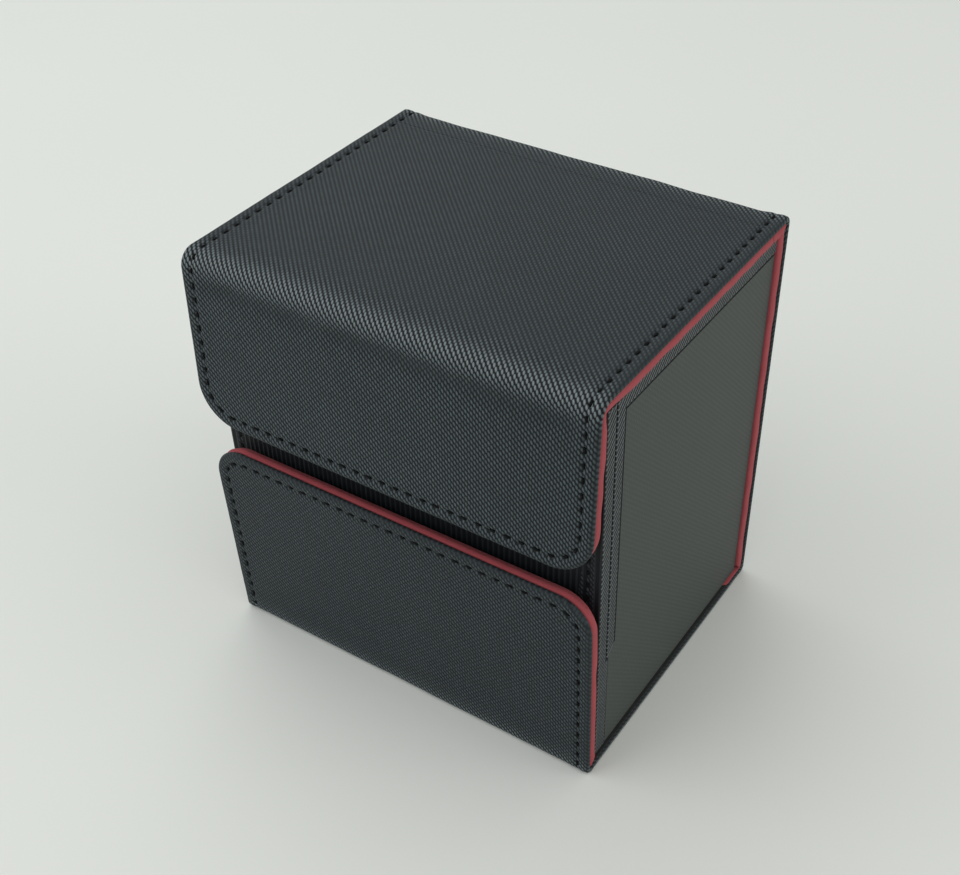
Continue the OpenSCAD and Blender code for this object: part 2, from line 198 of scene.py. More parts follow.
def make_object(name, points, faces, uv, material, flat=(), attributes=None):
    """A closed mesh object in metres, smooth apart from the faces listed in flat."""
    mesh = bpy.data.meshes.new(name)
    mesh.from_pydata((np.asarray(points) * MM).tolist(), [], faces)
    smooth_faces = np.ones(len(faces), bool)
    smooth_faces[list(flat)] = False
    mesh.polygons.foreach_set("use_smooth", smooth_faces)
    bm = bmesh.new()
    bm.from_mesh(mesh)
    bmesh.ops.recalc_face_normals(bm, faces=bm.faces)
    bm.to_mesh(mesh)
    bm.free()
    loops = np.zeros(len(mesh.loops), int)
    mesh.loops.foreach_get("vertex_index", loops)
    layer = mesh.uv_layers.new(name="UVMap")
    layer.data.foreach_set("uv", np.asarray(uv, np.float32)[loops].ravel())
    for key, values in (attributes or {}).items():
        attribute = mesh.attributes.new(key, "FLOAT", "POINT")
        attribute.data.foreach_set("value", np.asarray(values, np.float32))
    obj = bpy.data.objects.new(name, mesh)
    bpy.context.scene.collection.objects.link(obj)
    mesh.materials.append(material)
    return obj


RIM = 5                       # grid steps round each rounded edge
SEAM_ZONE = 5.2               # the grid is finer up to this far from an edge


def rim_lines(rounding):
    """Distances from an edge to the grid's lines over its rounding."""
    return rounding * (1 - np.cos(np.linspace(0, np.pi / 2, RIM + 1)))


def mirrored(lines, half):
    """Distances in from an edge made into places from -half to half. The last of them is half."""
    return np.concatenate([lines - half, (half - lines[:-1])[::-1]])


def edge_lines(rounding, corner, end, step):
    """Distances from a free edge to the grid's lines: fine round the edge and over the seam."""
    seam = spaced(rounding, SEAM_ZONE, 0.36)
    return np.concatenate([
        rim_lines(rounding), seam, spaced(SEAM_ZONE, corner, 0.6), spaced(corner, end, step)])


def round_corners(x, t, radius):
    """Moves grid points (x, distance t from the free edge) so that the sheet's corners are round.
    Squares round the corner's centre become quarter circles, so grid lines follow the outline."""
    p = np.abs(x) - (HALF_W - radius)
    q = radius - t
    inside = (p > 0) & (q > 0)
    reach = np.where(inside, np.maximum(p, q), 1.0)
    angle = np.pi / 4 * np.where(p >= q, q / reach, 2 - p / reach)
    new_x = np.sign(x) * (HALF_W - radius + reach * np.cos(angle))
    new_t = radius - reach * np.sin(angle)
    return np.where(inside, new_x, x), np.where(inside, new_t, t)


def edge_distance(x, t, radius):
    """Distance from a sheet's outline. radius 0 means that the sheet has no free end."""
    side = HALF_W - np.abs(x)
    if radius == 0:
        return side
    p, q = np.abs(x) - (HALF_W - radius), radius - t
    return np.where((p > 0) & (q > 0), radius - np.hypot(p, q), np.minimum(side, t))


def seam_distance(x, t, radius):
    """Distance along a flap's seam from the middle of the free edge to the point nearest (x, t)."""
    straight, bend = HALF_W - radius, radius - SEAM_INSET
    corner = straight + bend * np.arctan2(np.abs(x) - straight, radius - t)
    side = straight + bend * np.pi / 2 + t - radius
    return np.where(t >= radius, side, np.where(np.abs(x) <= straight, np.abs(x), corner))


def seam_point(along, radius):
    """(x, t) of the seam's right half at a distance from the middle of the free edge."""
    straight, bend = HALF_W - radius, radius - SEAM_INSET
    angle = np.clip((along - straight) / bend, 0, np.pi / 2)
    beyond = np.maximum(along - straight - bend * np.pi / 2, 0)
    return (np.minimum(along, straight) + bend * np.sin(angle),
            radius - bend * np.cos(angle) + beyond)


def hump(distance, width):
    """1 where the distance is 0, falling smoothly away on both sides."""
    return np.exp(-(distance / width) ** 2)


def mitred(point, normal, lift):
    """Points lifted off the path. Deep ones stop at the mitre of a fold that is tighter than that."""
    lifted = point + normal * lift[:, None]
    deep = np.maximum(-lift, 0)
    y = np.minimum(lifted[:, 0], Y_BACK - deep)
    z = np.clip(lifted[:, 1], deep, np.where(point[:, 0] > 0, HEIGHT - deep, HEIGHT))
    outside = lift > 0
    return np.where(outside[:, None], lifted, np.column_stack([y, z]))


class Sheet:
    """A closed sheet along the cover's path. start is where t = 0 lies on the path, way is +1 or -1
    for the direction of t, and radius is that of the free corners, or 0 if t = 0 is no free edge."""

    def __init__(self, start, way, radius, rounding, t_lines, x_step):
        lines = edge_lines(rounding, radius or 2 * SEAM_ZONE, HALF_W, x_step)
        x, t = np.meshgrid(mirrored(lines, HALF_W), t_lines, indexing="ij")
        if radius:
            x, t = round_corners(x, t, radius)
        self.x, self.t, self.s = x, t, start + way * t
        self.radius, self.rounding = radius, rounding
        self.edge = edge_distance(x, t, radius)
        self.along = seam_distance(x, t, radius or UPPER_CORNER_R)

    def faces(self):
        """Faces of the closed sheet, the outer grid's points first and then those of the inner
        face, and the list of the flat end caps. The inner face is wide strips inside its rim."""
        columns, rows = self.x.shape
        outer = np.arange(columns * rows).reshape(columns, rows)
        i, j = np.meshgrid(np.arange(columns), np.arange(rows), indexing="ij")
        ring = np.minimum(i, columns - 1 - i)
        if self.radius:
            ring = np.minimum(ring, j)
        kept = (ring > 0) & (ring <= RIM)
        inner = outer.copy()
        inner[kept] = columns * rows + np.arange(kept.sum())
        cell = np.minimum.reduce([ring[:-1, :-1], ring[1:, :-1], ring[:-1, 1:], ring[1:, 1:]])

        def quads(index, cells):
            return np.stack([index[:-1, :-1][cells], index[1:, :-1][cells],
                             index[1:, 1:][cells], index[:-1, 1:][cells]], -1).tolist()

        faces = quads(outer, cell >= 0) + quads(inner, cell < RIM)
        left, right = RIM, columns - 1 - RIM
        first = 0
        if self.radius:
            first = int(np.searchsorted(self.t[columns // 2], self.radius))
            faces.append(inner[left, RIM:first + 1][::-1].tolist() + inner[left + 1:right, RIM].tolist()
                         + inner[right, RIM:first + 1].tolist())
        for k in range(first, rows - 1):
            faces.append([inner[left, k], inner[left, k + 1], inner[right, k + 1], inner[right, k]])
        caps = []
        for k in ([rows - 1] if self.radius else [0, rows - 1]):
            caps.append(len(faces))
            under = np.concatenate([inner[1:left + 1, k], inner[right:columns - 1, k]])
            faces.append(outer[:, k].tolist() + under[::-1].tolist())
        return [list(map(int, f)) for f in faces], caps, kept

    def build(self, name, material, middle, half, relief=0.0, width=None, roundness=2.0,
              attributes=None):
        """Makes the object. middle is the depth of the sheet's middle, half is half its thickness,
        relief raises its outer face, and width is its half width where that changes with s."""
        faces, caps, kept = self.faces()
        point, normal = PATH.at(self.s)
        rim = np.clip(1 - self.edge / self.rounding, 0, 1)
        profile = (1 - rim ** roundness) ** (1 / roundness)
        x = self.x if width is None else self.x * width / HALF_W
        up = profile * (half + relief) - middle
        down = -profile * half - middle
        layers = [(up, np.ones_like(kept)), (down, kept)]
        points = np.concatenate([
            np.column_stack([x[use], mitred(point[use], normal[use], lift[use])])
            for lift, use in layers])
        uv = np.concatenate([np.stack([x[use], self.s[use]], -1) for _, use in layers])
        values = {key: np.concatenate([v[use] for _, use in layers])
                  for key, v in (attributes or {}).items()}
        return make_object(name, points, faces, uv, material, caps, values)


# ---------------------------------------------------------------- leather, lining and thread

GROOVE_WIDTH = 0.5            # half width of the pressed seam
PIT_SHADE_WIDTH = 0.42              # and of the painted shade under a stitch

# Creases at the folds: (middle on the path, half width, depth)
CREASES = [
    (FRONT_TOP[1] + 2.4, 2.5, 0.34),
    (FRONT_TOP[0] - 1.0, 2.0, 0.08),
    (sum(REAR_TOP) / 2, 4.0, 0.30),
    (sum(REAR_BOTTOM) / 2, 3.5, 0.25),
    (FRONT_BOTTOM[0] - 1.5, 2.0, 0.15),
]


def creases(x, s):
    """How far the leather sinks along its folds. The seams at the sides hold it up."""
    held = smooth((HALF_W - np.abs(x) - SEAM_INSET) / 5)
    uneven = 1 + 0.25 * ripple(x, s, 22, 5)
    sunk = sum(depth * hump(s - place, wide) for place, wide, depth in CREASES)
    return sunk * held * uneven


def stitch_distance(along):
    """Distance along the seam to the middle of the nearest stitch."""
    return np.abs((along / STITCH_PITCH + 0.5) % 1 - 0.5) * STITCH_PITCH


def under_stitch(from_middle):
    """1 under a stitch and 0 between two of them."""
    return smooth((SHOWN_STITCH / 2 + 0.35 - from_middle) / 0.4)


def seam_pit_shade(edge, along):
    """1 where shade is painted into the hollows that the stitches lie in, and 0 elsewhere."""
    return under_stitch(stitch_distance(along)) * hump(edge - SEAM_INSET, PIT_SHADE_WIDTH)


def seam_relief(edge, along):
    """The pressed seam, its needle holes and the padded band between it and the edge."""
    across = edge - SEAM_INSET
    from_middle = stitch_distance(along)
    pressed = hump(across, GROOVE_WIDTH)
    groove = (0.06 + 0.34 * under_stitch(from_middle)) * pressed
    holes = 0.30 * pressed * hump(from_middle - SHOWN_STITCH / 2, 0.40)
    band = 0.16 * np.sin(np.pi * np.clip(edge / SEAM_INSET, 0, 1))
    inner_swell = 0.08 * hump(across - 1.6, 1.0)
    return band + inner_swell - groove - holes


def leather_relief(sheet):
    """Height of the outer face above the smooth sheet: seams, creases and slow swells."""
    x, s = sheet.x, sheet.s
    swell = 0.05 * ripple(x, s, 30, 1) + 0.02 * ripple(x, s, 7, 2)
    return seam_relief(sheet.edge, sheet.along) - creases(x, s) + swell


def wear(s):
    """How much of the weave is rubbed off: more on the top than on the lower flap."""
    on_top = between(s, REAR_TOP[1], FRONT_TOP[0] - 4, 10)
    on_lower_flap = s < FRONT_BOTTOM[1] + 2
    return 0.42 * on_top + 0.25 * on_lower_flap


def cut_edge(edge, s):
    """1 on the bare cut edge of the leather, which shows along the bottom's sides."""
    on_bottom = between(s, FRONT_BOTTOM[1] + 2, REAR_BOTTOM[0] - 2, 2.0)
    return np.clip(1 - edge / 0.14, 0, 1) * on_bottom


def leather_sheet(name, sheet, material, nodes):
    """A leather sheet that replaces CAD nodes. Its attributes drive the weave's strength and wear,
    the painted shade under its stitches and the painted highlight over its folds.
    """
    obj = sheet.build(name, material, SKIN_T / 2, SKIN_T / 2, leather_relief(sheet), attributes={
        "edge": sheet.edge,
        "crease": creases(sheet.x, sheet.s),
        "bent": sum(hump(sheet.s - sum(fold) / 2, 3.5) for fold in PATH.folds),
        "pit_shade": seam_pit_shade(sheet.edge, sheet.along),
        "cut": cut_edge(sheet.edge, sheet.s),
        "worn": wear(sheet.s)})
    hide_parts(*nodes)
    return obj


def flap_lines(rounding, radius, first_fold, end, step):
    """Distances from a flap's free edge: fine at the edge, the seam and the fold."""
    near, far = first_fold
    return np.concatenate([edge_lines(rounding, radius, near, step),
                           spaced(near, far, 0.35), spaced(far, end, step)])


def rear_lines(rounding_step, flat_step):
    """Distances along the rear sheet from its start, fine at both folds."""
    marks = [BOTTOM_SPLIT, REAR_BOTTOM[0], REAR_BOTTOM[1], REAR_TOP[0], REAR_TOP[1], TOP_SPLIT]
    steps = [flat_step, rounding_step, flat_step, rounding_step, flat_step]
    parts = [[BOTTOM_SPLIT]] + [spaced(*part) for part in zip(marks, marks[1:], steps)]
    return np.concatenate(parts) - BOTTOM_SPLIT


def sheets(rounding, step, x_step):
    """The three sheets of one layer: lower flap to bottom, bottom to top, and top to upper flap."""
    end = PATH.length
    upper_fold = (end - FRONT_TOP[1], end - FRONT_TOP[0])
    lower = Sheet(0, 1, LOWER_CORNER_R, rounding,
                  flap_lines(rounding, LOWER_CORNER_R, FRONT_BOTTOM, BOTTOM_SPLIT, step), step)
    rear = Sheet(BOTTOM_SPLIT, 1, 0, rounding, rear_lines(0.4, step), x_step)
    rear.along = seam_distance(rear.x, end - rear.s, UPPER_CORNER_R)
    upper = Sheet(end, -1, UPPER_CORNER_R, rounding,
                  flap_lines(rounding, UPPER_CORNER_R, upper_fold, end - TOP_SPLIT, step), step)
    return lower, rear, upper


def fold_ends(hinge_body):
    s0, s1 = {"lower_flap": FRONT_BOTTOM[::-1], "lid": REAR_TOP, "upper_flap": FRONT_TOP}[hinge_body]
    return [tuple(np.array([0, *PATH.at(s)[0]]) * MM) for s in (s0, s1)]


def bend_with(obj, hinge_body):
    """Works out the two ends of the fold between a body and the body that it hangs from, which
    nothing uses, and bakes the object's transform into its mesh.
    """
    start, end = fold_ends(hinge_body)
    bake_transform(obj)


def add_leather(material):
    """The cover's leather, in three sheets that run round the folds."""
    lower, rear, upper = sheets(SKIN_T / 2, 0.6, 2.4)
    jobs = [
        ("leather_lower", lower, "lower_flap", ["lower_flap_skin", "bottom_front_fold", "bottom_skin"]),
        ("leather_rear", rear, "lid",
         ["bottom_skin", "rear_bottom_fold", "back_skin", "rear_top_fold", "top_skin"]),
        ("leather_upper", upper, "upper_flap", ["top_skin", "front_top_fold", "upper_flap_skin"]),
    ]
    for name, sheet, body, nodes in jobs:
        bend_with(leather_sheet(name, sheet, material, nodes), body)


LINING_ROUNDING = 0.9
TONGUE = 10.0                 # the back's lining runs this far on to the bottom at full width


def lining_depths(s, edge):
    """(middle depth, half thickness, half width) of the lined core. Its rim, outside the boards, is
    pinched at the folds and along the lower flap's free edge."""
    rim = smooth((LINING_ROUNDING - edge) / 0.6)
    full = (CORE_DEPTH - SKIN_T) / 2 - 0.05
    thin = np.ptp([c[2] for c in BOTTOM_LINING]) / 2
    on_bottom = between(s, FRONT_BOTTOM[0] + 3.2, REAR_BOTTOM[1] - 3.0, 2.0)
    pinch = between(s, FRONT_TOP[0] - 2.5, FRONT_TOP[1] + 2.5, 7.0) * 0.42
    pinch = np.maximum(pinch, between(s, REAR_TOP[0] + 0.6, REAR_TOP[1] - 0.6, 2.4) * 0.3)
    pinch = rim * np.maximum(pinch, smooth((10.0 - s) / 9) * 0.36)
    half = full * (1 - pinch) * (1 - on_bottom) + thin * on_bottom
    middle = ((SKIN_T + full * (1 - pinch)) * (1 - on_bottom)
              + (BOTTOM_LINING[0][2] + thin) * on_bottom)
    hidden = between(s, FRONT_BOTTOM[1] - 1.0, REAR_BOTTOM[0] - TONGUE, 3.0)
    width = (HALF_W - 0.25) * (1 - hidden) + (BOTTOM_LINING[1][0] - 1.5) * hidden
    return middle, half, width


def add_lining(material):
    """The cover's lining, in three sheets behind those of the leather."""
    lower, rear, upper = sheets(LINING_ROUNDING, 1.0, 2.4)
    jobs = [
        ("lining_lower", lower, "lower_flap", ["lower_flap_lining", "bottom_lining"]),
        ("lining_rear", rear, "lid", ["bottom_lining", "back_lining", "top_lining"]),
        ("lining_upper", upper, "upper_flap", ["top_lining", "upper_flap_lining"]),
    ]
    for name, sheet, body, nodes in jobs:
        middle, half, width = lining_depths(sheet.s, sheet.edge)
        width = width + 0.10 * ripple(sheet.x, sheet.s, 9, 8)
        obj = sheet.build(name, material, middle, half, width=width, roundness=2.6)
        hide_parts(*nodes)
        bend_with(obj, body)


THREAD_SIDES = 8
THREAD_RINGS = 9
STITCH_TUCK = 0.2             # each end of a stitch runs this far on, down its needle hole
STITCH_DEPTH = 0.20           # how deep the middle of a stitch lies
END_DEPTH = 0.70              # and how much deeper its ends do


def stitch(centre_along, place):
    """Points of one stitch. place(along, lift) gives points in space and their outward normals."""
    u = np.linspace(-1, 1, THREAD_RINGS)
    along = centre_along + u * (SHOWN_STITCH / 2 + STITCH_TUCK)
    lift = -STITCH_DEPTH - END_DEPTH * np.abs(u) ** 3.0
    point, normal = place(along, lift)
    tangent = np.gradient(point, axis=0)
    tangent /= np.linalg.norm(tangent, axis=1)[:, None]
    side = np.cross(tangent, normal)
    up = np.cross(side, tangent)
    radius = THREAD_D * 0.62 * (1 - 0.45 * np.abs(u) ** 6)
    angle = np.arange(THREAD_SIDES) * 2 * np.pi / THREAD_SIDES
    across, out = np.cos(angle)[None, :, None], np.sin(angle)[None, :, None]
    ring = across * side[:, None] * 1.15 + out * up[:, None]
    points = point[:, None] + radius[:, None, None] * ring
    uv = np.stack(np.meshgrid(along, angle, indexing="ij"), -1)
    return points.reshape(-1, 3), uv.reshape(-1, 2)


def tube_faces(first):
    """Faces of one closed tube whose points start at index first."""
    faces = []
    for r in range(THREAD_RINGS - 1):
        start = first + r * THREAD_SIDES
        for k in range(THREAD_SIDES):
            a, b = start + k, start + (k + 1) % THREAD_SIDES
            faces.append([a, b, b + THREAD_SIDES, a + THREAD_SIDES])
    last = first + (THREAD_RINGS - 1) * THREAD_SIDES
    faces.append(list(range(first, first + THREAD_SIDES))[::-1])
    faces.append(list(range(last, last + THREAD_SIDES)))
    return faces


def stitch_rows(name, centres, places, material, nodes):
    """One object with a stitch at every centre on every place."""
    points, uvs, faces = [], [], []
    for place in places:
        for centre in centres:
            stitch_points, uv = stitch(centre, place)
            faces += tube_faces(sum(map(len, points)))
            points.append(stitch_points)
            uvs.append(uv)
    obj = make_object(name, np.concatenate(points), faces, np.concatenate(uvs), material)
    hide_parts(*nodes)
    return obj


def seam_place(side, start, way, radius):
    """The place function of one half of a seam that runs round a flap and on along the path."""
    def place(along, lift):
        half = np.where(along < 0, -1, 1)
        x, t = seam_point(np.abs(along), radius)
        s = start + way * t
        point, normal = PATH.at(s)
        sunk = lift - creases(x, s)
        flat = point + normal * sunk[:, None]
        return np.column_stack([x * side * half, flat]), np.column_stack([0 * x, normal])
    return place


def seam_end(radius, t):
    """How far along its seam a flap's side row has reached at the distance t from the free edge."""
    return float(seam_distance(np.array(HALF_W - SEAM_INSET), np.array(t), radius))


def add_stitching(material):
    """The cover's seams. A flap's seam runs round it in one row; the rear sheet has two rows."""
    end = PATH.length
    jobs = [
        ("stitching_lower", 0, 1, LOWER_CORNER_R, 0, BOTTOM_SPLIT, "lower_flap",
         ["lower_flap_stitching", "bottom_stitching"]),
        ("stitching_upper", end, -1, UPPER_CORNER_R, 0, end - TOP_SPLIT, "upper_flap",
         ["top_stitching", "upper_flap_stitching"]),
        ("stitching_rear", end, -1, UPPER_CORNER_R, end - TOP_SPLIT, end - BOTTOM_SPLIT, "lid",
         ["top_stitching", "back_stitching", "bottom_stitching"]),
    ]
    for name, start, way, radius, t0, t1, body, nodes in jobs:
        right, left = (seam_place(side, start, way, radius) for side in (1, -1))
        if t0 == 0:
            last = math.ceil(seam_end(radius, t1) / STITCH_PITCH) - 1
            first, places = -last, [right]
        else:
            last = math.floor(seam_end(radius, t1) / STITCH_PITCH)
            first, places = math.ceil(seam_end(radius, t0) / STITCH_PITCH), [right, left]
        centres = np.arange(first, last + 1) * STITCH_PITCH
        bend_with(stitch_rows(name, centres, places, material, nodes), body)


# ---------------------------------------------------------------- materials


class Finish:
    """A material and short ways to add nodes to it."""

    def __init__(self, name):
        self.material = bpy.data.materials.new(name)
        self.material.use_nodes = True
        self.nodes = self.material.node_tree.nodes
        self.links = self.material.node_tree.links
        self.shader = self.nodes["Principled BSDF"]

    def feed(self, socket, value):
        """Links a node's output to a socket, or sets the socket to a constant."""
        if isinstance(value, bpy.types.NodeSocket):
            self.links.new(value, socket)
        else:
            socket.default_value = value

    def node(self, kind, settings=None, **inputs):
        """A new node. An input's spaces are written as underscores."""
        made = self.nodes.new("ShaderNode" + kind)
        for key, value in (settings or {}).items():
            setattr(made, key, value)
        for key, value in inputs.items():
            self.feed(made.inputs[key.replace("_", " ")], value)
        return made

    def math(self, operation, *values):
        made = self.nodes.new("ShaderNodeMath")
        made.operation = operation
        for socket, value in zip(made.inputs, values):
            self.feed(socket, value)
        return made.outputs[0]

    def mix(self, factor, a, b):
        made = self.nodes.new("ShaderNodeMix")
        made.data_type = "RGBA"
        for socket, value in zip((made.inputs[0], made.inputs[6], made.inputs[7]), (factor, a, b)):
            self.feed(socket, value)
        return made.outputs[2]

    def spread(self, value, low, high):
        """value from 0 to 1 spread over low to high."""
        return self.math("ADD", self.math("MULTIPLY", value, high - low), low)

    def place(self, axes=None):
        """Two coordinates in millimetres: the UV map, or two axes of the object's own space."""
        if axes is None:
            uv = self.node("UVMap", {"uv_map": "UVMap"}).outputs["UV"]
            split = self.node("SeparateXYZ", Vector=uv)
            return split.outputs[0], split.outputs[1]
        split = self.node("SeparateXYZ", Vector=self.node("TexCoord").outputs["Object"])
        return tuple(self.math("DIVIDE", split.outputs[axis], MM) for axis in axes)

    def vector(self, x, y, z=0.0):
        return self.node("CombineXYZ", X=x, Y=y, Z=z).outputs[0]

    def noise(self, x, y, wave, detail=2.0):
        """Cloudy noise from 0 to 1 whose patches are about wave millimetres across."""
        return self.node("TexNoise", Vector=self.vector(x, y), Scale=1 / wave, Detail=detail).outputs["Fac"]

    def solid_noise(self, scale, detail=2.0):
        """Cloudy noise from 0 to 1 in the object's own space, with scale patches to the metre."""
        coords = self.node("TexCoord").outputs["Object"]
        return self.node("TexNoise", Vector=coords, Scale=scale, Detail=detail).outputs["Fac"]

    def attribute(self, name):
        return self.node("Attribute", {"attribute_name": name}).outputs["Fac"]

    def bump(self, height, depth, below=None):
        """A bump whose height of 1 is depth millimetres."""
        made = self.node("Bump", Height=height, Distance=depth * MM)
        if below is not None:
            self.feed(made.inputs["Normal"], below)
        return made.outputs["Normal"]

    def finish(self, **inputs):
        """Sets the shader's inputs and returns the material."""
        for key, value in inputs.items():
            self.feed(self.shader.inputs[key.replace("_", " ")], value)
        return self.material


WEAVE_X = 1.52                # pitch of the weave across the cover
WEAVE_S = 1.50                # and along it
CELL = (0.25, 0.46, 0.35)     # half width and length of a cell, in pitches, and its slant
LONG_CELL = (0.20, 0.62, 0.85)
# Painted shade in the hollows under the stitches
PAINTED_PIT_SHADE = (0.0015, 0.0018, 0.002, 1)
# Painted highlight on the cells over the folds
PAINTED_RIDGE_HIGHLIGHT = (0.30, 0.33, 0.34, 1)
CUT_EDGE = (0.15, 0.16, 0.155, 1)
# Painted highlight on the facings' rounded edges
PAINTED_EDGE_HIGHLIGHT = (0.15, 0.165, 0.17, 1)


def weave(f, x, y, lean, cell):
    """Height of an embossed basket weave, 0 to 1, and a number from 0 to 1 for each of its cells.
    The cells are long ovals on a staggered lattice; lean is 1 or -1 for the way that they slant."""
    drift = f.spread(f.noise(x, y, 14.0), -0.12, 0.12)
    p = f.math("ADD", f.math("DIVIDE", x, WEAVE_X), drift)
    q = f.math("ADD", f.math("DIVIDE", y, lean * WEAVE_S), drift)
    m, n = f.math("ADD", p, q), f.math("SUBTRACT", p, q)
    from_m = f.math("SUBTRACT", f.math("FRACT", m), 0.5)
    from_n = f.math("SUBTRACT", f.math("FRACT", n), 0.5)
    width, length, slant = cell
    across = f.math("ADD", f.math("MULTIPLY", from_m, 0.5 - 0.5 * slant),
                    f.math("MULTIPLY", from_n, 0.5 + 0.5 * slant))
    along = f.math("MULTIPLY", f.math("SUBTRACT", from_m, from_n), 0.5)
    away = f.math("ADD", f.math("POWER", f.math("ABSOLUTE", f.math("DIVIDE", across, width)), 2.0),
                  f.math("POWER", f.math("ABSOLUTE", f.math("DIVIDE", along, length)), 2.0))
    height = f.math("MAXIMUM", f.math("SUBTRACT", 1.0, away), 0.0)
    number = f.vector(f.math("FLOOR", m), f.math("FLOOR", n))
    return height, f.node("TexWhiteNoise", Vector=number).outputs["Value"]


def cover_depth(f, strength):
    """How deep the weave is on the cover, in its bump and its colour: less at edges, in creases and
    where it is worn, and more over the folds, where the leather stretches and where its lighter
    cells are also a painted highlight."""
    near_edge = f.node("MapRange", Value=f.attribute("edge"), From_Min=0.2, From_Max=1.6, To_Min=0.55)
    flattened = f.math("SUBTRACT", 1.0, f.math("MULTIPLY", f.attribute("crease"), 0.9))
    depth = f.math("MULTIPLY", near_edge.outputs[0], f.math("MAXIMUM", flattened, 0.25))
    stretch_and_highlight = f.math("ADD", 1.0, f.math("MULTIPLY", f.attribute("bent"), 0.9))
    depth = f.math("MULTIPLY", depth, stretch_and_highlight)
    return f.math("MULTIPLY", depth, f.math("SUBTRACT", strength, f.attribute("worn")))


def leather_finish(name, axes=None, lean=1, strength=1.0, cell=CELL,
                   gap=(0.003, 0.005, 0.007), top=(0.094, 0.124, 0.138)):
    """Matte black synthetic leather with an embossed weave. gap and top are its colours between the
    cells and on them: the near-black gap is partly painted shade in the weave's hollows, and the lighter
    top is partly a painted highlight on the cells and partly their greyer worn tops. The cover's sheets,
    whose UV map holds millimetres, also have attributes for their edges, creases and folds; other
    pieces are woven over two axes of their own space."""
    f = Finish(name)
    x, y = f.place(axes)
    height, tone = weave(f, x, y, lean, cell)
    patches = f.noise(x, y, 26.0, 3.0)
    fine = f.noise(x, y, 0.25, 2.0)
    level = f.math("MULTIPLY", height, f.spread(tone, 0.72, 1.0))
    depth = cover_depth(f, strength) if axes is None else strength
    raised = f.math("MULTIPLY", level, depth)
    shade = f.math("MULTIPLY", raised, f.spread(patches, 0.8, 1.2))
    # The weave's colour: the near-black between the cells is partly painted shade in their hollows, and the
    # lighter cells are partly a painted highlight.
    colour = f.mix(f.math("MINIMUM", shade, 1.0), (*gap, 1), (*top, 1))
    flat_colour = f.mix(f.spread(patches, 0.18, 0.36), (*gap, 1), (*top, 1))
    colour = f.mix(f.math("MINIMUM", f.math("ADD", depth, 0.15), 1.0), flat_colour, colour)
    if axes is None:
        # Painted shade: the hollows that the stitches lie in are coloured near-black.
        colour = f.mix(f.attribute("pit_shade"), colour, PAINTED_PIT_SHADE)
        # Painted highlight: the raised cells over the folds are lightened towards pale grey.
        ridge_highlight = f.math("MULTIPLY", f.attribute("bent"), raised)
        colour = f.mix(f.math("MULTIPLY", ridge_highlight, 0.35), colour, PAINTED_RIDGE_HIGHLIGHT)
        colour = f.mix(f.attribute("cut"), colour, CUT_EDGE)
    else:
        # Painted highlight along the rounded outer edges of the facings.
        colour = f.mix(f.math("MULTIPLY", f.attribute("rim"), 0.4), colour, PAINTED_EDGE_HIGHLIGHT)
        # Painted shade in the hollows under the stitches
        colour = f.mix(f.attribute("pit_shade"), colour, PAINTED_PIT_SHADE)
    rough = f.math("SUBTRACT", f.spread(patches, 0.56, 0.64), f.math("MULTIPLY", raised, 0.12))
    grain = f.bump(fine, 0.02)
    normal = f.bump(raised, 0.16, grain)
    return f.finish(Base_Color=colour, Roughness=rough, Normal=normal, Specular_IOR_Level=0.22)


def microfibre(f, nap, fibres):
    """Short-napped red microfibre: soft patches where the nap leans, and a fine felted grain."""
    base = f.mix(nap, (0.26, 0.050, 0.060, 1), (0.36, 0.078, 0.088, 1))
    colour = f.mix(f.math("MULTIPLY", fibres, 0.5), base, (0.44, 0.085, 0.10, 1))
    return f.finish(Base_Color=colour, Roughness=f.spread(fibres, 0.85, 1.0), Normal=f.bump(fibres, 0.10),
                    Specular_IOR_Level=0.15, Sheen_Weight=0.12, Sheen_Roughness=0.5,
                    Sheen_Tint=(1.0, 0.50, 0.50, 1))


def lining_finish():
    """The cover's lining, whose UV map holds millimetres."""
    f = Finish("red_microfibre")
    x, y = f.place()
    fibres = f.noise(f.math("MULTIPLY", x, 2.2), y, 0.35, 4.0)
    return microfibre(f, f.noise(x, y, 5.0, 3.0), fibres)


def inner_lining_finish():
    """The card compartment's lining, in the object's own space."""
    f = Finish("compartment_microfibre")
    return microfibre(f, f.solid_noise(160.0, 3.0), f.solid_noise(2400.0, 4.0))


def thread_finish():
    """Waxed black thread with twisted strands. Its UV map holds (distance along, angle round)."""
    f = Finish("black_thread")
    along, angle = f.place()
    turns = f.math("ADD", f.math("MULTIPLY", along, 9.0), f.math("MULTIPLY", angle, 3.0))
    strands = f.spread(f.math("SINE", turns), 0.5, 1.0)
    colour = f.mix(strands, (0.0015, 0.0015, 0.002, 1), (0.005, 0.0055, 0.0065, 1))
    return f.finish(Base_Color=colour, Roughness=f.spread(strands, 0.75, 0.6), Normal=f.bump(strands, 0.06),
                    Specular_IOR_Level=0.12)


def board_finish(name="greyboard", dark=(0.16, 0.15, 0.13, 1), light=(0.34, 0.32, 0.28, 1), fleck=0.4):
    """Board: pressed pulp with darker and lighter flecks."""
    f = Finish(name)
    pulp = f.solid_noise(700.0, 5.0)
    coords = f.node("TexCoord").outputs["Object"]
    flecks = f.node("TexVoronoi", Vector=coords, Scale=1500.0).outputs["Distance"]
    colour = f.mix(pulp, dark, light)
    colour = f.mix(f.math("MULTIPLY", flecks, fleck), colour, (0.45, 0.43, 0.38, 1))
    return f.finish(Base_Color=colour, Roughness=f.spread(pulp, 0.85, 0.98), Normal=f.bump(pulp, 0.08),
                    Specular_IOR_Level=0.2)


